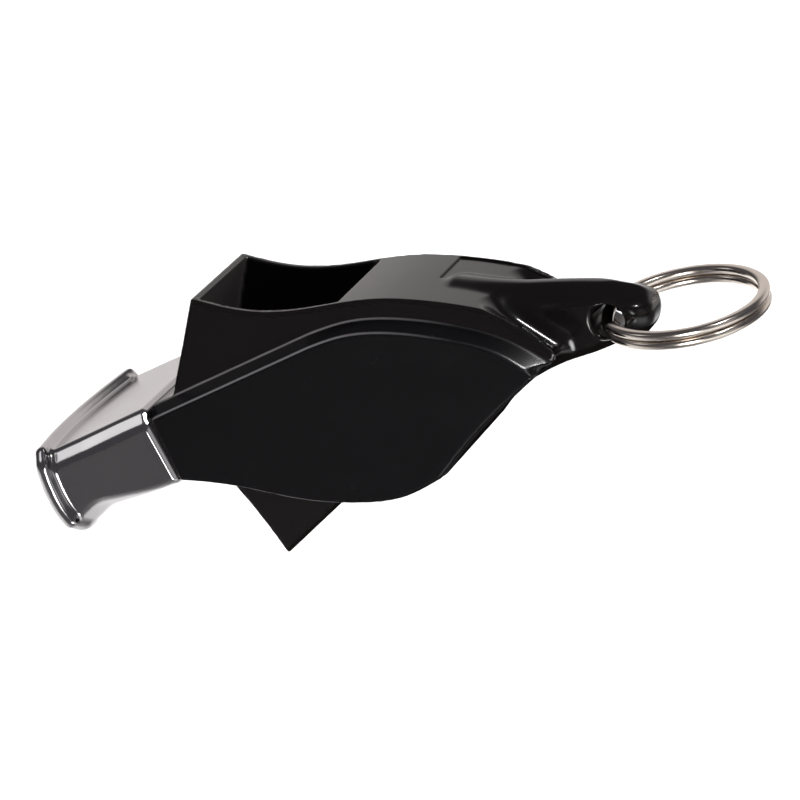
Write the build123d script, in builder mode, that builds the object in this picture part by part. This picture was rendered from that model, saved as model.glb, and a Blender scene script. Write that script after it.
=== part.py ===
from build123d import *
import os
from math import cos, dist, hypot, radians, sin, tan

os.makedirs("parts", exist_ok=True)

# Whistle as a whole: the length and height that the outline's shares refer to
whistle_length = 54.4
whistle_height = 25.5
core_width = 12.9
side_lean = 7.4
overrun = 30.0

# Mouthpiece: the sleeve's frame starts at the seam and droops towards the lip
seam_shares = (0.2164, 0.3498)
mouth_droop = 30.0
sleeve_length = 11.85
sleeve_width = 21.2
sleeve_height = 7.3
neck_height = 6.85
sleeve_wall = 0.7
corner_in = 2.0
corner_down = 1.15
body_step = 0.35
spigot_length = 9.2
spigot_clearance = 0.05

# Lip bead round the mouth end
lip_thickness = 1.4
lip_proud = 0.8
lip_flare = 3.0
lip_drop = 0.2
lip_edge = 0.45
lip_bow = 1.6
blow_width = 14.4
blow_height = 3.4

# Sound window: front wall, wing walls and the blade that splits the air
front_wall_start = 2.1
front_wall = 0.7
wing_wall = 1.25
shelf_length = 11.0
blade_depth = 1.1
blade_slope = 35.0
windway_exit = 1.2
windway_inset = 1.0
web = 1.2

# Resonance chambers, one each side of the web, tuned apart by their length
chamber_wall = 1.7
chamber_offset = 1.6

# Side covers
cover_rise = 1.65
tongue_thickness = 0.9
tongue_length = 6.0
tip_back = 1.5
rear_hollow = 0.45
band_drop = 0.85
plug_depth = 0.9
plug_clearance = 0.25

# Fin under the belly, an open scoop with a front wall and two side webs
fin_step = 0.15
fin_tip_width = 15.6
fin_wall = 1.4

# Roof: a shallow mould step on the left half, and a hollow each side of the lug
step_depth = 0.18
step_border = 0.75
hollow_radius = 2.6
hollow_depth = 1.1

# Lug and split ring
lug_width = 5.0
lug_tip_radius = 2.45
lug_round = 1.7
lug_hole = 3.3
hole_round = 0.55
hole_to_tip = 3.65
tip_lift = 0.4
ring_outer = 14.6
wire_across = 1.0
wire_along = 0.7
turn_gap = 0.5
ring_lift = 11.0
ring_twist = 5.5
ring_set_back = 0.55
jog_half_angle = 24.0
jog_angle = 190.0
wire_round = 0.25
quarter_arcs = 4
gap_points = 480

# Outline points as shares of the whistle's length and height
front_top_share = (0.2436, 0.8431)
rim_shares = [(0.3290, 0.8235), (0.4129, 0.8443)]
blade_share = (0.4871, 0.8871)
roof_shares = [(0.5551, 0.9196), (0.6379, 0.9322), (0.7169, 0.9275), (0.7989, 0.8886)]
tail_share = (0.8529, 0.8078)
cover_tip_share = (0.8474, 0.7745)
rear_corner_share = (0.6838, 0.3529)
belly_shares = [(0.6200, 0.2690), (0.5551, 0.2345), (0.4504, 0.2200), (0.3346, 0.2451)]
band_shares = [(0.4449, 0.7745), (0.5037, 0.8298), (0.6011, 0.8647), (0.6930, 0.8620), (0.7647, 0.8392)]
fin_front_share = (0.3130, 0.2451)
fin_bend_share = (0.3500, 0.1600)
fin_tip_share = (0.4150, -0.0180)
fin_rear_share = (0.5202, 0.2275)
step_share = (0.6220, 0.9322)
hollow_start_share = (0.7650, 0.9050)
lug_hole_share = (0.9136, 0.8838)
lug_root_share = (0.6507, 0.9314)
lug_top_share = (0.8088, 0.9700)
lug_under_share = (0.7941, 0.6667)

droop = radians(mouth_droop)
lean = radians(side_lean)

# The middle of the whole length, ring included, stands over the origin, the lip's bottom on it
ring_radius = (ring_outer - wire_across) / 2
turn_level = (wire_along + turn_gap) / 2
ring_reach = (ring_radius + ring_outer / 2 - ring_set_back) * cos(radians(ring_lift))
ring_reach += (turn_level + wire_along / 2 - wire_round) * sin(radians(ring_lift))
ring_end = lug_hole_share[0] * whistle_length + ring_reach
neck_rise = sleeve_height - neck_height
lip_top = sleeve_height / 2 + lip_proud
lip_end = seam_shares[0] * whistle_length
lip_end -= (sleeve_length + lip_bow) * cos(droop) + (lip_top - lip_edge) * sin(droop)
lip_base = seam_shares[1] * whistle_height
lip_base -= (sleeve_length + lip_bow - lip_edge) * sin(droop) + (lip_top - neck_rise + lip_drop) * cos(droop)
front_x = -(lip_end + ring_end) / 2
base_z = -lip_base


def place(share):
    """Point in the side view from its shares of the length and height."""
    return (front_x + share[0] * whistle_length, base_z + share[1] * whistle_height)


seam = place(seam_shares)
crest_z = base_z + whistle_height


def along(back, up):
    """Point in the side view, measured back from the seam and up from the mouth axis."""
    x = seam[0] + back * cos(droop) - up * sin(droop)
    z = seam[1] + back * sin(droop) + up * cos(droop)
    return (x, z)


def inset(points, depth, closed=False):
    """Points of an open or closed run moved to their right-hand side by depth."""
    moved = []
    last = len(points) - 1
    for i, point in enumerate(points):
        before = points[i - 1] if closed else points[max(i - 1, 0)]
        after = points[(i + 1) % len(points)] if closed else points[min(i + 1, last)]
        run = hypot(after[0] - before[0], after[1] - before[1])
        x = point[0] + depth * (after[1] - before[1]) / run
        z = point[1] - depth * (after[0] - before[0]) / run
        moved.append((x, z))
    return moved


# Levels that several pieces share
body_half = sleeve_height / 2 - body_step
spigot_half = sleeve_height / 2 - sleeve_wall - spigot_clearance
front_top = place(front_top_share)
blade = place(blade_share)
roof_run = [front_top] + [place(share) for share in rim_shares] + [blade]
roof_run += [place(share) for share in roof_shares] + [place(tail_share)]
rim_z = front_top[1]
core_half = core_width / 2
belly = [place(share) for share in belly_shares]
rear_corner = place(rear_corner_share)
cover_tip = place(cover_tip_share)
band = [along(0, body_half)] + [place(share) for share in band_shares]
window_half = core_half - wing_wall


def rear_middle(start, end):
    """Middle of the hollow rear edge between two of its points."""
    run = dist(start, end)
    x = (start[0] + end[0]) / 2 - rear_hollow * (start[1] - end[1]) / run
    z = (start[1] + end[1]) / 2 + rear_hollow * (start[0] - end[0]) / run
    return (x, z)


def half_at(z):
    """Half the width of the core at a height, from the lean of its sides."""
    return core_half + (rim_z - z) * tan(lean)


def side_plane(side, out):
    """Leaning plane of one side of the core, moved outwards by out."""
    face = Plane(
        origin=(0, side * core_half, rim_z),
        x_dir=(-side, 0, 0),
        z_dir=(0, side * cos(lean), sin(lean)),
    )
    return face.offset(out)


def on_side(side):
    """Function that draws a side view point on the leaning plane of one side."""
    return lambda point: (-side * point[0], (point[1] - rim_z) / cos(lean))


# Chamber outline, one wall inside the cover's outline
chamber_top = inset(band[1:], chamber_wall)
chamber_low = inset([cover_tip, rear_corner] + belly, chamber_wall)
chamber_front = along(shelf_length, 0)


def chamber_lines(shift, shrink, drawn):
    """Closed outline of one chamber, its front moved back by shift, then drawn in by shrink."""
    front = chamber_front[0] + shift
    roof = [point for point in chamber_top if point[0] > front + chamber_wall]
    floor = [point for point in chamber_low[1:] if point[0] > front + chamber_wall]
    points = [(front, along(shelf_length, -windway_exit)[1])] + roof + floor
    points.append((front, floor[-1][1]))
    points = [drawn(point) for point in inset(points, shrink, closed=True)]
    top = points[1 : len(roof) + 1]
    low = points[len(roof) + 1 : -1]
    Line(points[0], top[0])
    Spline(top)
    Line(top[-1], low[0])
    Spline(low)
    Polyline(low[-1], points[-1], points[0])


# Lug: a rib that rises out of the roof and ends round its ring hole
lug_hole_at = place(lug_hole_share)
lug_tip_at = (lug_hole_at[0] + hole_to_tip - lug_tip_radius, lug_hole_at[1] + tip_lift)
with BuildPart() as lug:
    with BuildSketch(Plane.XZ):
        with BuildLine():
            root = place(lug_root_share)
            top = place(lug_top_share)
            crown = (lug_tip_at[0], lug_tip_at[1] + lug_tip_radius)
            tip = (lug_tip_at[0] + lug_tip_radius, lug_tip_at[1])
            heel = (lug_tip_at[0], lug_tip_at[1] - lug_tip_radius)
            under = place(lug_under_share)
            Spline([root, top, crown], tangents=[(1, 0), (1, 0)])
            ThreePointArc(crown, tip, heel)
            Line(heel, under)
            Line(under, root)
        make_face()
    extrude(amount=lug_width / 2, both=True)
    rounded = lug.edges().filter_by(Axis.Y, reverse=True).sort_by(Axis.X)[-6:]
    fillet(rounded, radius=lug_round)
    # Ring hole with a rounded rim at both faces
    with BuildSketch(Plane((lug_hole_at[0], 0, lug_hole_at[1]), x_dir=(1, 0, 0), z_dir=(0, 0, 1))):
        with BuildLine():
            rim_start = (lug_hole / 2, lug_width / 2 - hole_round)
            rim_end = (lug_hole / 2 + hole_round, lug_width / 2)
            Polyline((lug_hole / 2, 0), (0, 0), (0, lug_width), (rim_end[0], lug_width), rim_end)
            RadiusArc(rim_end, rim_start, hole_round)
            Line(rim_start, (lug_hole / 2, 0))
        make_face()
        mirror(about=Plane.XZ)
    revolve(axis=Axis((lug_hole_at[0], 0, lug_hole_at[1]), (0, 1, 0)), mode=Mode.SUBTRACT)

# Fin: an open scoop under the belly, closed in front
with BuildPart() as fin:
    fin_front = place(fin_front_share)
    fin_bend = place(fin_bend_share)
    fin_tip = place(fin_tip_share)
    fin_rear = place(fin_rear_share)
    fin_top = (fin_tip[0], belly[2][1] + chamber_wall / 2)
    fin_root_half = half_at(fin_top[1]) - fin_step
    with BuildSketch(Plane.XZ):
        with BuildLine():
            Spline([fin_front, fin_bend, fin_tip])
            Line(fin_tip, fin_rear)
            Polyline(fin_rear, (fin_rear[0], fin_top[1]), (fin_front[0], fin_top[1]), fin_front)
        make_face()
    extrude(amount=overrun, both=True)
    with BuildSketch(Plane.YZ):
        with BuildLine():
            Polyline(
                (-fin_tip_width / 2, fin_tip[1]),
                (fin_tip_width / 2, fin_tip[1]),
                (fin_root_half, fin_top[1]),
                (-fin_root_half, fin_top[1]),
                close=True,
            )
        make_face()
    extrude(amount=overrun, both=True, mode=Mode.INTERSECT)
    with BuildSketch(Plane.XZ):
        with BuildLine():
            hollow = inset([fin_front, fin_bend, fin_tip], -fin_wall)
            slope = (hollow[1][0] - hollow[0][0]) / (hollow[1][1] - hollow[0][1])
            hollow[0] = (hollow[1][0] + slope * (fin_top[1] - hollow[1][1]), fin_top[1])
            Spline(hollow)
            Polyline(
                hollow[2],
                (fin_rear[0] + overrun, hollow[2][1]),
                (fin_rear[0] + overrun, fin_top[1]),
                hollow[0],
            )
        make_face()
    extrude(amount=fin_tip_width / 2 - fin_wall, both=True, mode=Mode.SUBTRACT)

# Sections of the mouthpiece: flat top, and a bottom that rises towards the neck
sleeve_half = sleeve_width / 2
sleeve_top = sleeve_height / 2
neck_at = sleeve_length - lip_thickness - lip_flare


def mouth_plane(forward):
    """Plane square to the mouth axis, forward of the seam, with its Y towards the top."""
    x, z = along(-forward, 0)
    return Plane(origin=(x, 0, z), x_dir=(0, -1, 0), z_dir=(-cos(droop), 0, -sin(droop)))


def mouth_section(forward, grow, drop=0):
    """Eight-cornered section of the mouthpiece, grown by grow, its bottom lowered by drop."""
    side = sleeve_half + grow
    high = sleeve_top + grow
    low = -sleeve_top + neck_rise * min(forward, neck_at) / neck_at - grow - drop
    Polyline(
        (-side + corner_in, high),
        (side - corner_in, high),
        (side, high - corner_down),
        (side, low + corner_down),
        (side - corner_in, low),
        (-side + corner_in, low),
        (-side, low + corner_down),
        (-side, high - corner_down),
        close=True,
    )


def side_taper():
    """Cross-section of the core, from the lean of its two sides."""
    Polyline(
        (-half_at(0), 0),
        (half_at(0), 0),
        (half_at(crest_z), crest_z),
        (-half_at(crest_z), crest_z),
        close=True,
    )


# Spigot that the sleeve and the covers' tongues go over
with BuildPart() as spigot:
    for forward in (0, spigot_length):
        with BuildSketch(mouth_plane(forward)):
            with BuildLine():
                mouth_section(forward, -sleeve_wall - spigot_clearance)
            make_face()
    loft(ruled=True)
    with BuildSketch(Plane.YZ):
        with BuildLine():
            side_taper()
        make_face()
    extrude(amount=whistle_length, both=True, mode=Mode.INTERSECT)

# Core: spigot, front wall, wings, roof, web, fin and lug in one moulding
with BuildPart() as core:
    with BuildSketch(Plane.XZ):
        with BuildLine():
            front_base = along(front_wall_start, body_half)
            Line(along(0, body_half), along(0, -body_half))
            Spline([along(0, -body_half)] + belly[::-1] + [rear_corner])
            ThreePointArc(rear_corner, rear_middle(cover_tip, rear_corner), cover_tip)
            Line(cover_tip, roof_run[-1])
            Spline(roof_run)
            Polyline(front_top, front_base, along(0, body_half))
        make_face()
    extrude(amount=overrun, both=True)
    with BuildSketch(Plane.YZ):
        with BuildLine():
            side_taper()
        make_face()
    extrude(amount=whistle_length, both=True, mode=Mode.INTERSECT)
    add(fin.part)
    add(spigot.part)

    # Chambers, open to the sides until the covers close them
    for side, shift in ((-1, 0), (1, chamber_offset)):
        with BuildSketch(Plane.XZ.offset(-side * web / 2)):
            with BuildLine():
                chamber_lines(shift, 0, tuple)
            make_face()
        extrude(amount=-side * overrun, mode=Mode.SUBTRACT)

    # Window between the wing walls, from the shelf to the blade
    with BuildSketch(Plane.XZ):
        with BuildLine():
            wall_run = dist(front_base, front_top)
            wall_x = front_wall * (front_top[1] - front_base[1]) / wall_run
            wall_z = front_wall * (front_base[0] - front_top[0]) / wall_run
            blade_low = (blade[0] - blade_depth * tan(radians(blade_slope)), blade[1] - blade_depth)
            blade_root = (chamber_top[1][0], chamber_top[1][1] - chamber_wall)
            Polyline(
                (front_top[0] + wall_x, front_top[1] + overrun),
                (front_top[0] + wall_x, front_top[1] + wall_z),
                along(front_wall_start + front_wall, body_half),
                along(shelf_length, body_half),
                along(shelf_length, -windway_exit),
                blade_root,
                (blade_low[0] + chamber_wall, blade_low[1] - chamber_wall),
                blade_low,
                blade,
                (blade[0], front_top[1] + overrun),
                close=True,
            )
        make_face()
    extrude(amount=window_half, both=True, mode=Mode.SUBTRACT)

    # Two windways, narrowing from the mouth to a slit under the shelf
    for side in (-1, 1):
        with BuildSketch(Plane.XZ.offset(-side * web / 2)):
            with BuildLine():
                slit_top = body_half - windway_inset
                Polyline(
                    along(-spigot_length - overrun, blow_height / 2),
                    along(-spigot_length, blow_height / 2),
                    along(front_wall_start, slit_top),
                    along(shelf_length + web, slit_top),
                    along(shelf_length + web, slit_top - windway_exit),
                    along(front_wall_start, slit_top - windway_exit),
                    along(-spigot_length, -blow_height / 2),
                    along(-spigot_length - overrun, -blow_height / 2),
                    close=True,
                )
            make_face()
        extrude(amount=-side * (window_half - web / 2), mode=Mode.SUBTRACT)

    # Shallow step left by the mould insert, on the left half of the roof behind the blade
    with BuildSketch(Plane.XZ):
        with BuildLine():
            floor = inset(roof_run, step_depth)
            Spline(floor)
            Polyline(floor[-1], (floor[-1][0], crest_z), (floor[0][0], crest_z), floor[0])
        make_face()
        with BuildLine():
            start_x = place(step_share)[0]
            Polyline(
                (start_x, 0),
                (start_x, crest_z),
                (floor[0][0], crest_z),
                (floor[0][0], 0),
                close=True,
            )
        make_face(mode=Mode.SUBTRACT)
    extrude(amount=-core_half + step_border, mode=Mode.SUBTRACT)

    # Hollows in the roof beside the lug's root
    for side in (-1, 1):
        hollow_from = place(hollow_start_share)
        hollow_to = place(tail_share)
        axis_y = side * (lug_width / 2 + hollow_radius - hollow_depth)
        axis_plane = Plane(
            origin=(hollow_from[0], axis_y, hollow_from[1] + hollow_radius - hollow_depth),
            x_dir=(0, 1, 0),
            z_dir=(hollow_to[0] - hollow_from[0], 0, hollow_to[1] - hollow_from[1]),
        )
        with BuildSketch(axis_plane):
            Circle(hollow_radius)
        extrude(amount=whistle_length, mode=Mode.SUBTRACT)
        with Locations(axis_plane.origin):
            Sphere(hollow_radius, mode=Mode.SUBTRACT)
    add(lug.part)
core.part.label = "body_core"
export_step(core.part, "parts/body_core.step")


def cover_lines(top, tip, drawn):
    """Closed outline of a side cover from its top run, its tail tip and the belly."""
    Line(drawn(top[0]), drawn(top[1]))
    straight = Vector(*drawn(top[1])) - Vector(*drawn(top[0]))
    rest = Vector(*drawn(tip)) - Vector(*drawn(top[-1]))
    Spline([drawn(point) for point in top[1:] + [tip]], tangents=[straight, rest])
    ThreePointArc(drawn(tip), drawn(rear_middle(tip, rear_corner)), drawn(rear_corner))
    Spline([drawn(point) for point in [rear_corner] + belly + [along(0, -body_half)]])
    Line(drawn(along(0, -body_half)), drawn(top[0]))


# Side covers: raised panels with a bevelled band, a plug in the chamber and a tongue under the sleeve
panel_top = [along(0, body_half - band_drop)] + inset(band + [cover_tip], band_drop)[1:-1]
tail_run = dist(cover_tip, rear_corner)
panel_tip = (
    cover_tip[0] + (rear_corner[0] - cover_tip[0]) * tip_back / tail_run,
    cover_tip[1] + (rear_corner[1] - cover_tip[1]) * tip_back / tail_run,
)
tongue_half = spigot_half - corner_down
for name, side, shift in (("right_cover", -1, 0), ("left_cover", 1, chamber_offset)):
    drawn = on_side(side)
    with BuildPart() as cover:
        with BuildSketch(side_plane(side, 0)):
            with BuildLine():
                cover_lines(band, cover_tip, drawn)
            make_face()
        with BuildSketch(side_plane(side, cover_rise)):
            with BuildLine():
                cover_lines(panel_top, panel_tip, drawn)
            make_face()
        loft(ruled=True)
        with BuildSketch(side_plane(side, 0)):
            with BuildLine():
                corners = [
                    along(tongue_thickness, tongue_half),
                    along(-tongue_length, tongue_half),
                    along(-tongue_length, -tongue_half),
                    along(tongue_thickness, -tongue_half),
                ]
                Polyline([drawn(point) for point in corners], close=True)
            make_face()
        extrude(amount=tongue_thickness)
        with BuildSketch(side_plane(side, 0)):
            with BuildLine():
                chamber_lines(shift, plug_clearance, drawn)
            make_face()
        extrude(amount=-plug_depth)
    cover.part.label = name
    export_step(cover.part, f"parts/{name}.step")


def bow(forward, reach):
    """Arc across the mouth in plan, bowed forward, its ends reach to each side."""
    return ThreePointArc((forward, -reach), (forward + lip_bow, 0), (forward, reach))


# Mouthpiece sleeve: plated shell pressed over the spigot, with a bowed lip bead to bite on
mouth_plan = Plane(
    origin=(seam[0], 0, seam[1]),
    x_dir=(-cos(droop), 0, -sin(droop)),
    z_dir=(-sin(droop), 0, cos(droop)),
)
lip_half = sleeve_half + lip_proud
with BuildPart() as bead:
    with BuildSketch(mouth_plane(neck_at)):
        with BuildLine():
            mouth_section(neck_at, lip_proud, lip_drop)
        make_face()
    extrude(amount=sleeve_length)
    with BuildSketch(mouth_plan):
        with BuildLine():
            back = sleeve_length - lip_thickness
            bow(sleeve_length, lip_half)
            Line((sleeve_length, lip_half), (back, lip_half))
            bow(back, lip_half)
            Line((back, -lip_half), (sleeve_length, -lip_half))
        make_face()
    extrude(amount=sleeve_height, both=True, mode=Mode.INTERSECT)
    chamfer(bead.edges().filter_by(GeomType.LINE, reverse=True), length=lip_edge)

with BuildPart() as sleeve:
    for forward, drop in ((0, 0), (neck_at, 0), (sleeve_length + lip_bow, lip_drop)):
        with BuildSketch(mouth_plane(forward)):
            with BuildLine():
                mouth_section(forward, 0, drop)
            make_face()
    loft(ruled=True)
    with BuildSketch(mouth_plan):
        with BuildLine():
            bow(sleeve_length - lip_edge, lip_half)
            Polyline(
                (sleeve_length - lip_edge, lip_half),
                (-overrun, lip_half),
                (-overrun, -lip_half),
                (sleeve_length - lip_edge, -lip_half),
            )
        make_face()
    extrude(amount=sleeve_height, both=True, mode=Mode.INTERSECT)
    add(bead.part)
    for forward in (0, spigot_length + spigot_clearance):
        with BuildSketch(mouth_plane(forward)):
            with BuildLine():
                mouth_section(forward, -sleeve_wall)
            make_face()
    loft(ruled=True, mode=Mode.SUBTRACT)
    with BuildSketch(mouth_plane(0)):
        Rectangle(blow_width, blow_height)
    extrude(amount=sleeve_length + overrun, mode=Mode.SUBTRACT)
sleeve.part.label = "mouthpiece_sleeve"
export_step(sleeve.part, "parts/mouthpiece_sleeve.step")

# Split ring: flat wire wound twice, stepping from one turn to the other at its jog
ring_dir = (cos(radians(ring_lift)), 0, sin(radians(ring_lift)))
ring_normal = (
    -sin(radians(ring_lift)) * cos(radians(ring_twist)),
    -sin(radians(ring_twist)),
    cos(radians(ring_lift)) * cos(radians(ring_twist)),
)
ring_centre = (
    lug_hole_at[0] + (ring_radius - ring_set_back) * ring_dir[0],
    0,
    lug_hole_at[1] + (ring_radius - ring_set_back) * ring_dir[2],
)
ring_plane = Plane(origin=ring_centre, x_dir=ring_dir, z_dir=ring_normal)
flat_angle = 360 - 2 * jog_half_angle
turn_start = jog_angle + jog_half_angle


def on_ring(angle, level):
    """Point on the wire's middle line, at an angle round the ring and a level along its axis."""
    x = ring_radius * cos(radians(angle))
    y = ring_radius * sin(radians(angle))
    return ring_plane.from_local_coords(Vector(x, y, level))


with BuildPart() as ring:
    with BuildLine() as wire_path:
        for start, level in ((turn_start, turn_level), (turn_start + 360, -turn_level)):
            step = flat_angle / quarter_arcs
            for i in range(quarter_arcs):
                here = start + i * step
                middle = on_ring(here + step / 2, level)
                ThreePointArc(on_ring(here, level), middle, on_ring(here + step, level))
            if level > 0:
                jog_from = wire_path.edges()[-1]
                middle = on_ring(jog_angle + 360, 0)
                TangentArc(jog_from @ 1, middle, tangent=jog_from % 1)
                jog_to = wire_path.edges()[-1]
                TangentArc(jog_to @ 1, on_ring(turn_start + 360, -turn_level), tangent=jog_to % 1)
    start_point = on_ring(turn_start, turn_level)
    with BuildSketch(Plane(origin=start_point, x_dir=ring_normal, z_dir=wire_path.wire() % 0)):
        RectangleRounded(wire_along, wire_across, wire_round)
    sweep(path=wire_path.wire())

    # Least gap of the wire to itself, measured on points along it
    levels = []
    for i in range(gap_points + 1):
        levels.append(ring_plane.to_local_coords(wire_path.wire() @ (i / gap_points)))
    gaps = []
    for i, here in enumerate(levels):
        for there in levels[i + gap_points // quarter_arcs :]:
            if hypot(here.X - there.X, here.Y - there.Y) < wire_across:
                gaps.append(abs(here.Z - there.Z) - wire_along)
    print("least gap of the ring to itself", round(min(gaps), 2))
ring.part.label = "split_ring"
export_step(ring.part, "parts/split_ring.step")
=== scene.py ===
import functools
import math

import bpy
import numpy as np
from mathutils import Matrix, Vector


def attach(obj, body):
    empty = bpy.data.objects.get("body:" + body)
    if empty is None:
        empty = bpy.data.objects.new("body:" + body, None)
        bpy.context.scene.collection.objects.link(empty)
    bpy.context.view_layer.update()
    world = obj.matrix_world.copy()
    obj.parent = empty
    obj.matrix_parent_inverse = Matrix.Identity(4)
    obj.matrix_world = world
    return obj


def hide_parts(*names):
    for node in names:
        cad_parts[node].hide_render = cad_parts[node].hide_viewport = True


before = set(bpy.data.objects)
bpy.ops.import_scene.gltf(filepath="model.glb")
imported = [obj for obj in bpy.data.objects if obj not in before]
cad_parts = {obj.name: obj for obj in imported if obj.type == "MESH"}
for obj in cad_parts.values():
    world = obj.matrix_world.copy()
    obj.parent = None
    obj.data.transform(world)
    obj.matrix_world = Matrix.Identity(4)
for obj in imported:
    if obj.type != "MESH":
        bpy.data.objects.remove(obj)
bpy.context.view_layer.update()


# Housing core: one black glossy moulding with wings, sound window, roof, fin and lug.
# Its form is a distance field in millimetres, put together from side view outlines
# with rounded edges and fillets, and skinned with quads.
WHISTLE_LENGTH, WHISTLE_HEIGHT = 54.4, 25.5
FRONT_X, FOOT_Z = -30.629, 1.217
PER_METRE = 1000


def at(share_x, share_z):
    """Side view point from its shares of the whistle's length and height."""
    return (FRONT_X + WHISTLE_LENGTH * share_x, FOOT_Z + WHISTLE_HEIGHT * share_z)


SEAM = at(0.2164, 0.3498)
COS30, SIN30 = math.cos(math.radians(30)), 0.5
LEAN = math.radians(7.4)
RIM = at(0, 0.8431)[1]


def along(back, up):
    """Side view point measured back from the mouthpiece seam and up from the mouth axis."""
    return (SEAM[0] + back * COS30 - up * SIN30, SEAM[1] + back * SIN30 + up * COS30)


def curve(points, ends=None, count=14):
    """Cubic spline through points, by chord length: natural, or with the two end slopes given."""
    p = np.array(points, float)
    h = np.linalg.norm(np.diff(p, axis=0), axis=1)
    n = len(p)
    a, b = np.zeros((n, n)), np.zeros((n, 2))
    for i in range(1, n - 1):
        a[i, i - 1], a[i, i], a[i, i + 1] = h[i - 1], 2 * (h[i - 1] + h[i]), h[i]
        b[i] = 6 * ((p[i + 1] - p[i]) / h[i] - (p[i] - p[i - 1]) / h[i - 1])
    if ends is None:
        a[0, 0] = a[-1, -1] = 1
    else:
        a[0, 0], a[0, 1] = 2 * h[0], h[0]
        b[0] = 6 * ((p[1] - p[0]) / h[0] - np.array(ends[0]))
        a[-1, -2], a[-1, -1] = h[-1], 2 * h[-1]
        b[-1] = 6 * (np.array(ends[1]) - (p[-1] - p[-2]) / h[-1])
    m = np.linalg.solve(a, b)
    out = []
    for i in range(n - 1):
        t = np.linspace(0, h[i], count, endpoint=False)[:, None]
        s = h[i] - t
        out.append((m[i] * s**3 + m[i + 1] * t**3) / (6 * h[i])
                   + (p[i] / h[i] - m[i] * h[i] / 6) * s
                   + (p[i + 1] / h[i] - m[i + 1] * h[i] / 6) * t)
    return [tuple(q) for q in np.concatenate(out)] + [tuple(p[-1])]


def inset(points, depth):
    """Points of an open run moved to their right-hand side by depth."""
    p = np.array(points, float)
    run = np.gradient(p, axis=0)
    run[1:-1] = p[2:] - p[:-2]
    run /= np.linalg.norm(run, axis=1)[:, None]
    return [tuple(q) for q in p + depth * np.stack([run[:, 1], -run[:, 0]], 1)]


def arc(start, end, sag, count=16):
    """Shallow arc from start to end, sagging to its left-hand side by sag at its middle."""
    s, e = np.array(start), np.array(end)
    left = np.array([-(e - s)[1], (e - s)[0]]) / np.linalg.norm(e - s)
    t = np.linspace(0, 1, count)[:, None]
    return [tuple(q) for q in s + (e - s) * t + left * sag * 4 * t * (1 - t)]


def flat(loop, grid=0.2, margin=5.0):
    """Signed distance in the side view to a closed loop, negative inside, read from a table."""
    loop = np.array(loop, float)
    lo, hi = loop.min(0) - margin, loop.max(0) + margin
    nx, nz = (np.ceil((hi - lo) / grid).astype(int) + 1)
    x, z = np.meshgrid(lo[0] + grid * np.arange(nx), lo[1] + grid * np.arange(nz), indexing="ij")
    best, inside = np.full(x.shape, 1e9), np.zeros(x.shape, bool)
    for a, b in zip(loop, np.roll(loop, -1, 0)):
        e = b - a
        if e @ e < 1e-12:
            continue
        t = np.clip(((x - a[0]) * e[0] + (z - a[1]) * e[1]) / (e @ e), 0, 1)
        best = np.minimum(best, (x - a[0] - t * e[0]) ** 2 + (z - a[1] - t * e[1]) ** 2)
        if a[1] != b[1]:
            inside ^= ((a[1] > z) != (b[1] > z)) & (x < a[0] + (z - a[1]) * e[0] / e[1])
    table = np.where(inside, -1, 1) * np.sqrt(best)

    def read(x, z):
        """Value between the four nearest entries of the table, plus the way to it from outside."""
        u, v = (x - lo[0]) / grid, (z - lo[1]) / grid
        cu, cv = np.clip(u, 0, nx - 1.001), np.clip(v, 0, nz - 1.001)
        i, j = cu.astype(int), cv.astype(int)
        s, t = cu - i, cv - j
        near = (table[i, j] * (1 - s) * (1 - t) + table[i + 1, j] * s * (1 - t)
                + table[i, j + 1] * (1 - s) * t + table[i + 1, j + 1] * s * t)
        return near + grid * np.hypot(u - cu, v - cv)

    return read


def meet(a, b, r):
    """Where both fields are solid, with the edge between them rounded to radius r."""
    return np.minimum(np.maximum(a, b), -r) + np.hypot(np.maximum(a + r, 0), np.maximum(b + r, 0))


def join(a, b, r):
    """Where either field is solid, with a fillet of radius r between them."""
    return np.maximum(np.minimum(a, b), r) - np.hypot(np.maximum(r - a, 0), np.maximum(r - b, 0))


def sharp(*fields):
    """Where all the fields are solid, with sharp edges: the largest of them."""
    return functools.reduce(np.maximum, fields)


def ease(low, high, v):
    """Smooth step from 0 at low to 1 at high."""
    t = np.clip((v - low) / (high - low), 0, 1)
    return t * t * (3 - 2 * t)


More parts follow.
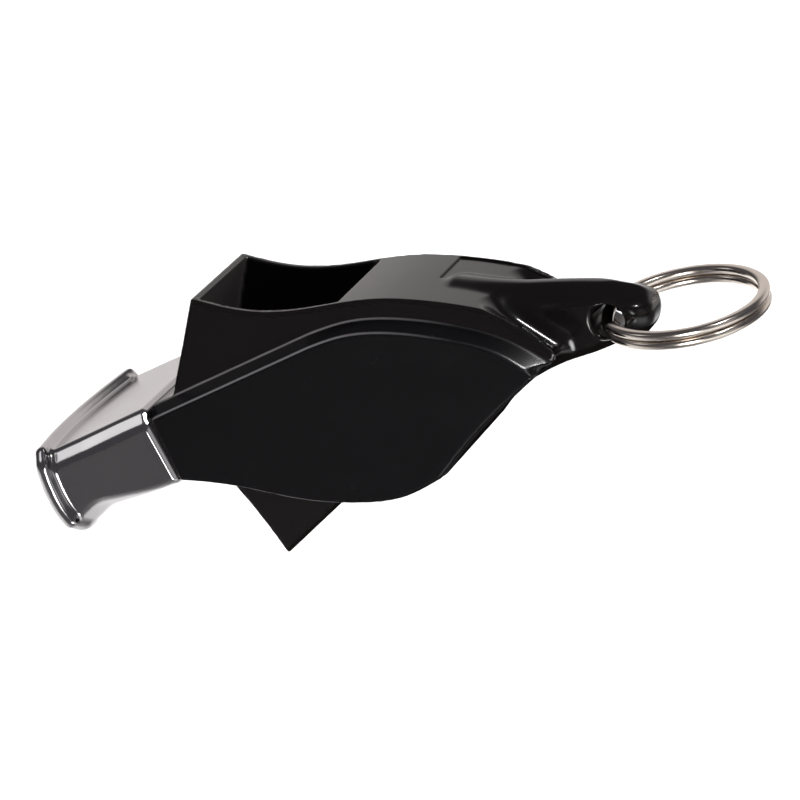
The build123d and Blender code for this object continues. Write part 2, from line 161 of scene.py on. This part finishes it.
def skin(name, field, low, high, step, marks=(), placed=lambda v: v, winding=1):
    """Quads on the zero level of a field: one vertex per cell, at the mean of its edge crossings,
    moved onto the level along the gradient, whose direction is the normal. The bend of the surface
    is kept in the attribute "bend", positive on edges and negative in corners. Marks are pairs of
    a name and a function of the place, kept as attributes too."""
    axes = [np.arange(a, b + step, step) for a, b in zip(low, high)]
    f = field(*np.meshgrid(*axes, indexing="ij"))
    solid = f < 0
    corners = [(i, j, k) for i in (0, 1) for j in (0, 1) for k in (0, 1)]
    size = np.array(f.shape) - 1
    filled = sum(solid[i : i + size[0], j : j + size[1], k : k + size[2]].astype(np.int8)
                 for i, j, k in corners)
    cells = np.argwhere((filled > 0) & (filled < len(corners)))
    number = np.full(size, -1)
    number[tuple(cells.T)] = np.arange(len(cells))
    total, count = np.zeros((len(cells), 3)), np.zeros(len(cells))
    for a in corners:
        for k in range(3):
            if a[k]:
                continue
            b = list(a)
            b[k] = 1
            fa, fb = f[tuple((cells + a).T)], f[tuple((cells + b).T)]
            crossed = (fa < 0) != (fb < 0)
            t = np.where(crossed, fa / np.where(crossed, fa - fb, 1), 0)
            point = np.array(a, float) + np.where(np.arange(3) == k, 1.0, 0.0) * t[:, None]
            total += crossed[:, None] * point
            count += crossed
    v = np.array(low) + step * (cells + total / count[:, None])
    quads = []
    for k in range(3):
        m, n = (k + 1) % 3, (k + 2) % 3
        here = [slice(1, -1)] * 3
        here[k] = slice(None, -1)
        there = list(here)
        there[k] = slice(1, None)
        near, far = solid[tuple(here)], solid[tuple(there)]
        for crossed, turn in ((near & ~far, 1), (~near & far, -1)):
            c = np.argwhere(crossed)
            c[:, m] += 1
            c[:, n] += 1
            ring = []
            for dm, dn in ((-1, -1), (0, -1), (0, 0), (-1, 0))[::turn]:
                d = c.copy()
                d[:, m] += dm
                d[:, n] += dn
                ring.append(number[tuple(d.T)])
            quads.append(np.stack(ring, 1))
    quads = np.concatenate(quads)
    probe, rounds, least_steep, reach = 0.12, 3, 0.2, 0.3
    for _ in range(rounds):
        value = field(*v.T)
        slope = np.stack([field(*(v + probe * d).T) - field(*(v - probe * d).T)
                          for d in np.eye(3)], 1) / (2 * probe)
        steep = np.maximum((slope**2).sum(1), least_steep)
        v = v - slope * np.clip(value / steep, -step / 2, step / 2)[:, None]
    bend = sum(field(*(v + reach * d).T) + field(*(v - reach * d).T) for d in np.eye(3)) / reach
    normal = slope / np.linalg.norm(slope, axis=1)[:, None]
    tip = placed(v + normal) - placed(v)
    mesh = bpy.data.meshes.new(name)
    mesh.from_pydata((placed(v) / PER_METRE).tolist(), [], quads[:, ::winding].tolist())
    for mark, value in [("bend", bend)] + [(mark, read(*v.T)) for mark, read in marks]:
        kept = mesh.attributes.new(mark, "FLOAT", "POINT")
        kept.data.foreach_set("value", value.astype(np.float32))
    mesh.shade_smooth()
    mesh.normals_split_custom_set_from_vertices(tip.tolist())
    piece = bpy.data.objects.new(name, mesh)
    bpy.context.scene.collection.objects.link(piece)
    return piece


ABOVE, BEHIND, BEFORE = 40, 30, -30
NECK_TOP, NECK_LOW, REAR_HOLLOW, WALL = 3.3, -3.5, 0.45, 1.7
front_top, blade, tail = at(0.2436, 0.8431), at(0.4871, 0.8871), at(0.8529, 0.8078)
roof_line = curve([front_top, at(0.3290, 0.8235), at(0.4129, 0.8443), blade, at(0.5551, 0.9196),
                   at(0.6379, 0.9322), at(0.7169, 0.9275), at(0.7989, 0.8886), tail])
rear_corner, cover_tip = at(0.6838, 0.3529), at(0.8474, 0.7745)
belly = [at(0.6200, 0.2690), at(0.5551, 0.2345), at(0.4504, 0.2200), at(0.3346, 0.2360)]
band = [along(0, NECK_TOP), at(0.4449, 0.7745), at(0.5037, 0.8298), at(0.6011, 0.8647),
        at(0.6930, 0.8620), at(0.7647, 0.8392)]
belly_run = curve([along(0, NECK_LOW)] + belly[::-1] + [rear_corner])
FRONT_FOOT, FRONT_BACK = 2.1, 2.65
side_view = flat(belly_run + arc(rear_corner, cover_tip, REAR_HOLLOW) + roof_line[::-1]
                 + [along(FRONT_FOOT, NECK_TOP), along(0, NECK_TOP)])

SHELF_END, SHELF_LEVEL = 11, -1.2
BLADE_LIP, BLADE_ANGLE = 1.1, math.radians(35)
wall_top = (front_top[0] + 0.544, front_top[1] - 0.082)
blade_low = (blade[0] - BLADE_LIP * math.tan(BLADE_ANGLE), blade[1] - BLADE_LIP)
chamber_top = inset(band[1:], WALL)
chamber_low = inset([cover_tip, rear_corner] + belly, WALL)[1:]
window_view = flat([(wall_top[0], ABOVE), wall_top, along(FRONT_BACK, NECK_TOP),
                    along(SHELF_END, NECK_TOP), along(SHELF_END, SHELF_LEVEL),
                    (chamber_top[1][0], chamber_top[1][1] - WALL),
                    (blade_low[0] + WALL, blade_low[1] - WALL), blade_low, blade, (blade[0], ABOVE)])
SLOT_HIGH, SLOT_DEPTH = 1.7, 9.2
WINDWAY_TOP, WINDWAY_LOW, WINDWAY_END = 2.3, 1.1, 12.2
windway_view = flat([along(BEFORE, SLOT_HIGH), along(-SLOT_DEPTH, SLOT_HIGH),
                     along(FRONT_FOOT, WINDWAY_TOP), along(WINDWAY_END, WINDWAY_TOP),
                     along(WINDWAY_END, WINDWAY_LOW), along(FRONT_FOOT, WINDWAY_LOW),
                     along(-SLOT_DEPTH, -SLOT_HIGH), along(BEFORE, -SLOT_HIGH)])


def chamber_view(shift):
    """Side view of one chamber, its front wall moved back by shift."""
    front = along(SHELF_END, 0)[0] + shift
    top = [p for p in chamber_top if p[0] > front + WALL]
    low = [p for p in chamber_low if p[0] > front + WALL]
    return flat([(front, along(SHELF_END, SHELF_LEVEL)[1])] + curve(top) + curve(low)
                + [(front, low[-1][1])])


LEFT_SHORTER = 1.6
chambers = {-1: chamber_view(0), 1: chamber_view(LEFT_SHORTER)}
FIN_SUNK, FIN_WALL, SCOOP_FRONT = 0.85, 1.4, -12.1
fin_run = [at(0.3130, 0.2451), at(0.35, 0.16), at(0.4150, -0.0180)]
fin_front, fin_tip = fin_run[0], fin_run[2]
fin_rear, fin_top = at(0.5202, 0.2275), belly[2][1] + FIN_SUNK
fin_view = flat(curve(fin_run) + [fin_rear, (fin_rear[0], fin_top), (fin_front[0], fin_top)])
scoop_run = inset(fin_run, -FIN_WALL)
scoop_view = flat(curve([(SCOOP_FRONT, fin_top)] + scoop_run[1:])
                  + [(BEHIND, scoop_run[2][1]), (BEHIND, fin_top)])
LUG_ROUND = 2.45
hole = at(0.9136, 0.8838)
lug_end = (hole[0] + 1.2, hole[1] + 0.4)
lug_top = curve([at(0.6507, 0.9314), at(0.8088, 0.97), (lug_end[0], lug_end[1] + LUG_ROUND)],
                ((1, 0), (1, 0)))
lug_tip = [(lug_end[0] + LUG_ROUND * math.cos(a), lug_end[1] + LUG_ROUND * math.sin(a))
           for a in np.linspace(math.pi / 2, -math.pi / 2, 40)]
lug_view = flat(lug_top + lug_tip + [at(0.7941, 0.6667)])
dent = at(0.765, 0.905)
dent_run = np.array(tail) - np.array(dent)
dent_run /= np.linalg.norm(dent_run)
CORE_HALF, WINDOW_HALF, WINDWAY_HALF, WEB_HALF = 6.45, 5.7, 5.2, 0.6
FIN_HALF, FIN_FLARE, SCOOP_HALF = 7.8, 0.453, 6.4
SPIGOT_HALF, SPIGOT_HIGH, SPIGOT_MIDDLE, SPIGOT_REACH = 8.5, 2.2, -4, 5.2
CHAMBER_SKIN = 0.9
STEP_START, STEP_DEPTH, STEP_REACH = at(0.622, 0)[0], 0.18, 1
DENT_RISE, DENT_SIDE, DENT_RADIUS = 1.5, 3.9, 2.3
LUG_HALF, LUG_SWELL, LUG_SHOULDER, LUG_LEAN = 1.2, 1.3, 2.6, 0.85
HOLE_RADIUS, HOLE_TAPER = 1.33, 0.06


def below_roof(x, z):
    """Depth of a point under the roof's line in the side view."""
    return np.interp(x, *np.transpose(roof_line)) - z


def core_field(x, y, z):
    """Housing core: leaning sides, fin and scoop, spigot, chambers, window, windways, roof step,
    hollows beside the lug, lug and hole, each joined to or cut from the ones before."""
    wide = np.abs(y)
    outline = side_view(x, z)
    side = (wide - CORE_HALF - (RIM - z) * math.tan(LEAN)) * math.cos(LEAN)
    f = meet(outline, side, 0.1 + 0.15 * ease(15, 19, z))
    flare = FIN_FLARE * (z - fin_tip[1]) / (fin_top - fin_tip[1])
    fin = meet(fin_view(x, z), wide - FIN_HALF - flare, 0.3)
    fin = meet(fin, -meet(scoop_view(x, z), wide - SCOOP_HALF, 0.5), 0.25)
    f = join(f, fin, 0.6)
    back = (x - SEAM[0]) * COS30 + (z - SEAM[1]) * SIN30
    up = -(x - SEAM[0]) * SIN30 + (z - SEAM[1]) * COS30
    spigot = sharp(np.abs(up) - SPIGOT_HIGH, np.abs(back - SPIGOT_MIDDLE) - SPIGOT_REACH,
                   side, wide - SPIGOT_HALF)
    f = np.minimum(f, spigot)
    for sign, view in chambers.items():
        f = meet(f, -sharp(view(x, z), outline + CHAMBER_SKIN, WEB_HALF - sign * y), 0.15)
    f = meet(f, -meet(window_view(x, z), wide - WINDOW_HALF, 0.3), 0.12)
    f = meet(f, -sharp(windway_view(x, z), wide - WINDWAY_HALF, WEB_HALF - wide), 0.1)
    step = sharp(-STEP_DEPTH - outline, STEP_START - x, y - WINDOW_HALF,
                 below_roof(x, z) - STEP_REACH, -y)
    f = meet(f, -step, 0.06)
    dx, dz = x - dent[0], z - dent[1] - DENT_RISE
    run = np.maximum(dx * dent_run[0] + dz * dent_run[1], 0)
    away = np.sqrt((dx - run * dent_run[0]) ** 2 + (dz - run * dent_run[1]) ** 2
                   + (wide - DENT_SIDE) ** 2)
    f = meet(f, DENT_RADIUS - away, 0.8)
    depth = np.clip(np.interp(x, *np.transpose(lug_top)) - z, 0, LUG_SHOULDER)
    toward_tip = ease(9, 18, x)
    half = (LUG_HALF + LUG_SWELL * ease(0, LUG_SHOULDER - 1.2 * toward_tip, depth)
            + 0.3 * toward_tip * ease(0, 1.4, depth))
    lug = meet(lug_view(x, z), (wide - half) * LUG_LEAN, 0.9 + 0.8 * ease(17.5, 20.5, x))
    f = join(f, lug, 1.3)
    return meet(f, HOLE_RADIUS - HOLE_TAPER * y - np.hypot(x - hole[0], z - hole[1]), 0.3)


WALL_NORMAL, WALL_FADE, FAR_OFF = (0.9886, -0.149), 0.15, 9


def wall_mark(x, y, z):
    """1 on the inner face of the front wall, 0 elsewhere, as a bell curve of the way to it: where
    light grey is painted in as the light that face catches.
    """
    off = (x - wall_top[0]) * WALL_NORMAL[0] + (z - wall_top[1]) * WALL_NORMAL[1]
    return np.exp(-((off / WALL_FADE) ** 2)) * (np.abs(y) < WINDOW_HALF + 0.05) * ease(13, 16, z)


def seam_mark(x, y, z):
    """Distance to the corner-shaped moulding seam in the roof, far off elsewhere."""
    on_roof = (y > 0) & (below_roof(x, z) < STEP_REACH)
    return np.where(on_roof, np.maximum(STEP_START - x, y - WINDOW_HALF), FAR_OFF)


core = skin("housing_core", core_field, (-29.5, -9.6, 0.2), (24, 9.6, 27.4), 0.26,
            [("wall", wall_mark), ("seam", seam_mark)])
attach(core, "housing")
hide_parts("body_core")


def attribute(tree, name):
    """Socket of the attribute that skin kept under this name."""
    node = tree.nodes.new("ShaderNodeAttribute")
    node.attribute_name = name
    return node.outputs["Fac"]


def noise(tree, coords, scale, detail):
    """Socket of a noise on object coordinates, with this many waves a metre and octaves."""
    node = tree.nodes.new("ShaderNodeTexNoise")
    node.inputs["Scale"].default_value, node.inputs["Detail"].default_value = scale, detail
    tree.links.new(coords.outputs["Object"], node.inputs["Vector"])
    return node.outputs["Fac"]


def stretch(tree, value, start=(0, 1), result=(0, 1)):
    """Socket that carries a value in a straight line from one span to another, held at the ends."""
    node = tree.nodes.new("ShaderNodeMapRange")
    node.inputs["From Min"].default_value, node.inputs["From Max"].default_value = start
    node.inputs["To Min"].default_value, node.inputs["To Max"].default_value = result
    tree.links.new(value, node.inputs["Value"])
    return node.outputs["Result"]


def maths(tree, operation, *values):
    """Socket of one operation on one or two sockets."""
    node = tree.nodes.new("ShaderNodeMath")
    node.operation = operation
    for value, into in zip(values, node.inputs):
        tree.links.new(value, into)
    return node.outputs["Value"]


def stroke(tree, mark, wide):
    """Socket that is 1 where the attribute mark is 0 and fades out over wide millimetres."""
    return stretch(tree, maths(tree, "ABSOLUTE", attribute(tree, mark)), (wide, wide / 4))


def blend(tree, amount, low, high):
    """Socket of a colour mixed by amount from low, a socket, to high, a colour."""
    mix = tree.nodes.new("ShaderNodeMix")
    mix.data_type = "RGBA"
    mix.inputs[7].default_value = (*high, 1)
    tree.links.new(amount, mix.inputs[0])
    tree.links.new(low, mix.inputs[6])
    return mix.outputs[2]


def cloudy(tree, value, colour, dark, light):
    """Socket of a colour that goes with a value from dark to light times itself."""
    ramp = tree.nodes.new("ShaderNodeValToRGB")
    for stop, share in zip(ramp.color_ramp.elements, (dark, light)):
        stop.color = (*[c * share for c in colour], 1)
    tree.links.new(value, ramp.inputs["Fac"])
    return ramp.outputs["Color"]


def rippled(tree, height, depth):
    """Fine unevenness of the surface: a bump of this depth in metres by a height socket."""
    bump = tree.nodes.new("ShaderNodeBump")
    bump.inputs["Strength"].default_value = 0.12
    bump.inputs["Distance"].default_value = depth
    tree.links.new(height, bump.inputs["Height"])
    tree.links.new(bump.outputs["Normal"], tree.nodes["Principled BSDF"].inputs["Normal"])


def moulded(name, colour, rough, grain, grain_depth):
    """Black moulded plastic: cloudy colour, patchy gloss, fine grain, convex edges painted lighter as
    wear and painted highlight, and a matt underside. Gives the material, its shader, and the sockets
    of its colour and sheen."""
    material = bpy.data.materials.new(name)
    material.use_nodes = True
    tree = material.node_tree
    shader = tree.nodes["Principled BSDF"]
    coords = tree.nodes.new("ShaderNodeTexCoord")
    tint = cloudy(tree, noise(tree, coords, 140, 4), colour, 0.8, 1.25)
    # Convex edges are painted lighter: partly wear, partly painted highlight along the edges.
    edge_wear_and_highlight = stretch(tree, attribute(tree, "bend"), (0.5, 3.0), (0, 0.35))
    wear_and_highlight_colour = blend(tree, edge_wear_and_highlight, tint, [c * 2.6 + 0.004 for c in colour])
    gloss = stretch(tree, noise(tree, coords, 420, 6), (0, 1), (rough - 0.05, rough + 0.05))
    facing = tree.nodes.new("ShaderNodeSeparateXYZ")
    tree.links.new(coords.outputs["Normal"], facing.inputs["Vector"])
    sheen = stretch(tree, facing.outputs["Z"], (-0.3, -0.05), (0, 0.5))
    for value, into in ((wear_and_highlight_colour, "Base Color"), (gloss, "Roughness"), (sheen, "Specular IOR Level")):
        tree.links.new(value, shader.inputs[into])
    rippled(tree, noise(tree, coords, grain, 3), grain_depth)
    return material, shader, wear_and_highlight_colour, sheen


core_black, shader, wear_and_highlight_colour, sheen = moulded("core_black", (0.0072, 0.0058, 0.0058), 0.18, 2600, 0.000004)
tree = core_black.node_tree
# Painted light: the inner face of the front wall is painted light grey, standing in for the light it
# catches.
wall_painted_light = blend(tree, attribute(tree, "wall"), wear_and_highlight_colour, (0.14, 0.127, 0.127))
seam_shine = stretch(tree, stroke(tree, "seam", 0.14), (0, 1), (1, 0.1))
tree.links.new(wall_painted_light, shader.inputs["Base Color"])
tree.links.new(maths(tree, "MULTIPLY", seam_shine, sheen), shader.inputs["Specular IOR Level"])
core.data.materials.append(core_black)

# Side covers: black mouldings, a little duller, with a flat raised panel and a sloping band above it.
# They are welded to the leaning sides of the core, with a small fillet along the band's upper edge.
COVER_RISE, COVER_ROUND, COVER_SUNK, COVER_GRID = 1.65, 0.22, 0.5, 0.12
PANEL_START, PANEL_INSET, PANEL_TAIL, HIGHLIGHT_WIDE = 2.35, 0.95, 1.5, 0.12
panel_top = [along(0, PANEL_START)] + inset(band + [cover_tip], PANEL_INSET)[1:-1]
tail_run = math.dist(cover_tip, rear_corner)
panel_tip = tuple(c + (r - c) * PANEL_TAIL / tail_run for c, r in zip(cover_tip, rear_corner))


def cover_view(top, tip):
    """Side view of a cover: its top run, its tail tip, the hollow rear edge and the belly."""
    upper = [top[0]] + curve(top[1:] + [tip])
    return flat(upper + arc(rear_corner, tip, REAR_HOLLOW)[::-1] + belly_run[::-1], COVER_GRID)


base_view, panel_view = cover_view(band, cover_tip), cover_view(panel_top, panel_tip)
covers_black, shader, wear_and_highlight_colour, _ = moulded("cover_black", (0.0038, 0.0035, 0.0042), 0.25, 3200, 0.000008)
tree = covers_black.node_tree
# Painted highlight: the panel's and the band's edges are drawn as lighter lines, strongest at the
# front and fading towards the tail.
painted_edge_lines = maths(tree, "MAXIMUM", stroke(tree, "panel", HIGHLIGHT_WIDE), stroke(tree, "base", HIGHLIGHT_WIDE))
place = tree.nodes.new("ShaderNodeSeparateXYZ")
tree.links.new(tree.nodes["Texture Coordinate"].outputs["Object"], place.inputs["Vector"])
highlight_fade = stretch(tree, place.outputs["X"], (0.007, -0.005), (0.06, 1))
edge_highlighted = blend(tree, maths(tree, "MULTIPLY", painted_edge_lines, highlight_fade), wear_and_highlight_colour, (0.25, 0.24, 0.245))
tree.links.new(edge_highlighted, shader.inputs["Base Color"])
for name, side, node in (("right_side_cover", -1, "right_cover"),
                         ("left_side_cover", 1, "left_cover")):

    def on_side(y, z):
        """Height above the core's leaning side, and the side view level that belongs to it."""
        out, above = side * y - CORE_HALF, z - RIM
        slant = -out * math.sin(LEAN) + above * math.cos(LEAN)
        return out * math.cos(LEAN) + above * math.sin(LEAN), RIM + slant * math.cos(LEAN)

    def cover_field(x, y, z):
        """Side cover: from the base outline to the panel outline as it rises from the core's side."""
        rise, level = on_side(y, z)
        base, panel, outline = base_view(x, level), panel_view(x, level), side_view(x, level)
        sloped = base + (panel - base) * np.clip(rise / COVER_RISE, 0, 1)
        f = meet(sloped, rise - COVER_RISE, COVER_ROUND)
        f = join(f, np.maximum(rise + 0.04, outline + 0.15), COVER_ROUND)
        return sharp(f, outline + 0.03, -COVER_SUNK - rise)

    low, high = (-26.5, 5.2, 4.4), (16.4, 10.7, 23.8)
    if side < 0:
        low, high = (low[0], -high[1], low[2]), (high[0], -low[1], high[2])
    edges = [("panel", lambda x, y, z: panel_view(x, on_side(y, z)[1])),
             ("base", lambda x, y, z: base_view(x, on_side(y, z)[1]))]
    cover = skin(name, cover_field, low, high, 0.2, edges)
    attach(cover, "housing")
    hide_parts(node)
    cover.data.materials.append(covers_black)

# Mouthpiece sleeve: a silver-plated shell pressed over the spigot, with a bowed lip bead to bite on.
# Its field is written in the mouth's own frame: forward from the seam, across and up.
LIP, BOW, BOW_HALF = 11.85, 1.6, 11.4
SLEEVE_HALF, SLEEVE_HIGH, SLEEVE_ROUND = 10.25, 3.65, 0.3
TOP_CUT_DOWN, TOP_CUT_NORMAL = 1.35, (0.8036, 0.5952)
LOW_CUT_RATIO, LOW_CUT_NORMAL = 1.74, (0.4985, 0.8669)
BEAD_RISE, BEAD_DROP, BEAD_HALF, BEAD_ROUND, BEAD_FILLET = 0.8, 0.15, 0.65, 0.55, 0.7
SEAM_CHAMFER, DIAGONAL = 0.36, 0.7071
BORE_HALF, BORE_HIGH, BORE_DEPTH, SLOT_HALF = 8.6, 2.3, 9.25, 7.2


def section(y, up, wide, low, cut, grow):
    """Cross-section with flat faces, top corners cut 1 across and 1.35 down, lower ones by cut."""
    out, high = np.abs(y) - wide - grow, SLEEVE_HIGH + grow
    corner_top = out * TOP_CUT_NORMAL[0] + (up - high + TOP_CUT_DOWN) * TOP_CUT_NORMAL[1]
    corner_low = (out + LOW_CUT_RATIO * cut) * LOW_CUT_NORMAL[0] + (low - up) * LOW_CUT_NORMAL[1]
    f = out
    for face in (corner_top, corner_low, up - high, low - up):
        f = meet(f, face, SLEEVE_ROUND)
    return f


def sleeve_field(forward, y, up):
    """Sleeve: flat top, bottom that rises to the neck and flares to the lip, rounded bead, bore
    and slot."""
    wide = SLEEVE_HALF + 0.35 * ease(0, 7, forward)
    low = -SLEEVE_HIGH + 0.45 * np.clip(forward / 7.45, 0, 1) - 0.8 * ease(7.6, 11.2, forward)
    cut = 0.4 + 0.8 * ease(1, 9, forward)
    round_off = np.where(up > -0.6, 0.04, 0.07) * (up + 0.6) ** 2
    front = LIP + BOW * (1 - (y / BOW_HALF) ** 2) - round_off
    tube = section(y, up, wide, low, cut, 0)
    shell = meet(tube, forward - front + 0.5, 0.2)
    bead = meet(section(y, up, wide, low - BEAD_DROP, cut, BEAD_RISE),
                np.abs(forward - front + BEAD_HALF) - BEAD_HALF, BEAD_ROUND)
    f = join(shell, bead, BEAD_FILLET)
    f = meet(f, 0.02 - forward, 0.05)
    f = np.maximum(f, (tube + SEAM_CHAMFER - forward) * DIAGONAL)
    f = meet(f, -sharp(np.abs(y) - BORE_HALF, np.abs(up) - BORE_HIGH, forward - BORE_DEPTH), 0.1)
    return meet(f, -np.maximum(np.abs(y) - SLOT_HALF, np.abs(up) - SLOT_HIGH), 0.35)


def from_mouth(v):
    """Points from the mouth's frame to the shared frame."""
    x, z = along(-v[:, 0], v[:, 2])
    return np.stack([x, v[:, 1], z], 1)


sleeve = skin("plated_sleeve", sleeve_field, (-0.6, -12.2, -5.6), (14.6, 12.2, 5.4), 0.2,
              placed=from_mouth, winding=-1)
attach(sleeve, "housing")
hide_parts("mouthpiece_sleeve")


def plated(name, colour, rough, streak):
    """Bright plating: faint cloudy tarnish, uneven polish, and the finest ripple in the surface."""
    material = bpy.data.materials.new(name)
    material.use_nodes = True
    tree = material.node_tree
    shader = tree.nodes["Principled BSDF"]
    shader.inputs["Metallic"].default_value = 1
    coords = tree.nodes.new("ShaderNodeTexCoord")
    cloud = noise(tree, coords, 180, 5)
    gloss = stretch(tree, noise(tree, coords, streak, 6), (0, 1), (rough - 0.04, rough + 0.04))
    tree.links.new(cloudy(tree, cloud, colour, 0.9, 1.06), shader.inputs["Base Color"])
    tree.links.new(gloss, shader.inputs["Roughness"])
    rippled(tree, cloud, 0.00002)
    return material


sleeve.data.materials.append(plated("silver_plating", (0.56, 0.547, 0.55), 0.14, 500))

# Split ring: nickel-plated flat wire wound twice through the lug's hole, its turns almost touching.
# The wire is one swept tube that steps from the upper to the lower turn at its jog.
LIFT, TWIST = math.radians(11), math.radians(5.5)
RING_RADIUS, RING_HANG, HALF_PITCH = 6.8, 6.25, 0.41
RING_START, RING_SWEEP, JOG_START, JOG_END = 214, 672, 526, 574
WIRE_HALF, WIRE_HIGH, WIRE_SQUARENESS, END_SHARE = 0.5, 0.39, 0.75, 0.72
angles = np.radians(np.linspace(RING_START, RING_START + RING_SWEEP, 420))
jog = ease(math.radians(JOG_START), math.radians(JOG_END), angles)
level = HALF_PITCH - 2 * HALF_PITCH * jog
out_x = np.array([math.cos(LIFT), 0, math.sin(LIFT)])
out_y = np.array([-math.sin(TWIST) * math.sin(LIFT), math.cos(TWIST),
                  math.sin(TWIST) * math.cos(LIFT)])
axis = np.cross(out_x, out_y)
centre = np.array([hole[0], 0, hole[1]]) + RING_HANG * out_x
radial = np.cos(angles)[:, None] * out_x + np.sin(angles)[:, None] * out_y
path = centre + RING_RADIUS * radial + level[:, None] * axis


def squared(wave, half):
    """A circle's coordinate pressed towards a square: its sign times a power of its size."""
    return half * np.sign(wave) * np.abs(wave) ** WIRE_SQUARENESS


round_angles = np.linspace(0, 2 * math.pi, 28, endpoint=False)
across, height = squared(np.cos(round_angles), WIRE_HALF), squared(np.sin(round_angles), WIRE_HIGH)
wire = path[:, None] + radial[:, None] * across[None, :, None] + axis * height[None, :, None]
for end in (0, -1):
    wire[end] = path[end] + END_SHARE * (wire[end] - path[end])
rows, per = wire.shape[:2]
i, j = np.meshgrid(np.arange(rows - 1), np.arange(per), indexing="ij")
a, b = i * per + j, i * per + (j + 1) % per
faces = np.stack([a, b, b + per, a + per], -1).reshape(-1, 4).tolist()
faces += [list(range(per))[::-1], list(range((rows - 1) * per, rows * per))]
mesh = bpy.data.meshes.new("nickel_ring")
mesh.from_pydata((wire.reshape(-1, 3) / PER_METRE).tolist(), [], faces)
mesh.shade_smooth()
ring = bpy.data.objects.new("nickel_ring", mesh)
bpy.context.scene.collection.objects.link(ring)
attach(ring, "ring")
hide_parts("split_ring")
ring.data.materials.append(plated("nickel_plating", (0.76, 0.69, 0.62), 0.2, 900))

# Stage: a pale floor well below the whistle, in a room that is bright behind and dim in front.
# Lamps whiten the floor behind, left, right and underneath. A soft lamp stands in front,
# a small one hangs overhead, and two dim panels stand left and right.
FLOOR_Z, FLOOR_HALF, FLOOR_FRONT, FLOOR_BACK = -0.2, 2, -2, 1.2
floor_mesh = bpy.data.meshes.new("floor")
floor_mesh.from_pydata([(-FLOOR_HALF, FLOOR_FRONT, FLOOR_Z), (FLOOR_HALF, FLOOR_FRONT, FLOOR_Z),
                        (FLOOR_HALF, FLOOR_BACK, FLOOR_Z), (-FLOOR_HALF, FLOOR_BACK, FLOOR_Z)],
                       [], [(0, 1, 2, 3)])
floor = bpy.data.objects.new("floor", floor_mesh)
bpy.context.scene.collection.objects.link(floor)
pale = bpy.data.materials.new("pale_floor")
pale.use_nodes = True
finish = pale.node_tree.nodes["Principled BSDF"].inputs
finish["Base Color"].default_value = (0.86, 0.86, 0.86, 1)
finish["Roughness"].default_value = 0.9
finish["Specular IOR Level"].default_value = 0
floor.data.materials.append(pale)

world = bpy.data.worlds.new("room")
bpy.context.scene.world = world
world.use_nodes = True
tree = world.node_tree
coords = tree.nodes.new("ShaderNodeTexCoord")
split = tree.nodes.new("ShaderNodeSeparateXYZ")
tree.links.new(coords.outputs["Generated"], split.inputs["Vector"])
behind = stretch(tree, split.outputs["Y"], (0.52, 0.8))
low_down = stretch(tree, split.outputs["Z"], (0.75, 0.45))
for socket in (behind, low_down):
    socket.node.interpolation_type = "SMOOTHSTEP"
shade = tree.nodes.new("ShaderNodeMix")
shade.data_type = "RGBA"
shade.inputs[6].default_value = (0.075, 0.072, 0.08, 1)
shade.inputs[7].default_value = (0.73, 0.69, 0.685, 1)
tree.links.new(maths(tree, "MULTIPLY", behind, low_down), shade.inputs[0])
tree.links.new(shade.outputs[2], tree.nodes["Background"].inputs["Color"])


def lamp(name, place, target, width, depth, power, spread):
    """Area lamp at a place, turned to a target, all in metres, watts and degrees."""
    data = bpy.data.lights.new(name, "AREA")
    data.shape = "RECTANGLE"
    data.size, data.size_y, data.energy, data.spread = width, depth, power, math.radians(spread)
    obj = bpy.data.objects.new(name, data)
    obj.location = place
    obj.rotation_euler = (Vector(target) - Vector(place)).to_track_quat("-Z", "Y").to_euler()
    bpy.context.scene.collection.objects.link(obj)


WHISTLE = (0, 0, 0.012)
lamp("floor_lamp", (-0.36, 0.69, 0.3), (-0.36, 0.68, FLOOR_Z), 1.06, 1.03, 5.2, 50)
lamp("left_floor_lamp", (-0.51, -0.05, 0.25), (-0.51, -0.04, FLOOR_Z), 0.78, 0.4, 1.1, 40)
lamp("right_floor_lamp", (0.7, -0.45, 0.3), (0.7, -0.44, FLOOR_Z), 0.86, 1.0, 4.0, 60)
lamp("under_lamp", (0.0, 0.05, -0.03), (0.0, 0.051, FLOOR_Z), 0.16, 0.16, 0.06, 80)
lamp("front_lamp", (0.16, -0.47, -0.07), WHISTLE, 0.22, 0.22, 0.09, 36)
lamp("ceiling_lamp", (0.19, -0.08, 0.49), WHISTLE, 0.03, 0.03, 0.03, 36)
lamp("window_lamp", (-0.39, -0.205, 0.247), WHISTLE, 0.15, 0.15, 0.035, 120)
lamp("right_lamp", (0.45, -0.22, 0.13), WHISTLE, 0.3, 0.25, 0.015, 70)

# Camera: at the photo's angle, 19 degrees round towards the ring and 21.2 above, with a long lens
# whose picture is 69.6 mm wide at the whistle.
AWAY, PICTURE_WIDE, SENSOR = 450, 69.6, 36
azimuth, elevation = math.radians(19), math.radians(21.2)
toward = Vector((math.sin(azimuth) * math.cos(elevation),
                 -math.cos(azimuth) * math.cos(elevation),
                 math.sin(elevation)))
lens = bpy.data.cameras.new("camera")
lens.sensor_width, lens.lens = SENSOR, SENSOR * AWAY / PICTURE_WIDE
lens.clip_start, lens.clip_end = 0.01, 20
camera = bpy.data.objects.new("camera", lens)
camera.location = Vector((-0.00043, 0, 0.01321)) + toward * (AWAY / PER_METRE)
camera.rotation_euler = (-toward).to_track_quat("-Z", "Y").to_euler()
bpy.context.scene.collection.objects.link(camera)
bpy.context.scene.camera = camera
bpy.context.scene.view_settings.view_transform = "Standard"
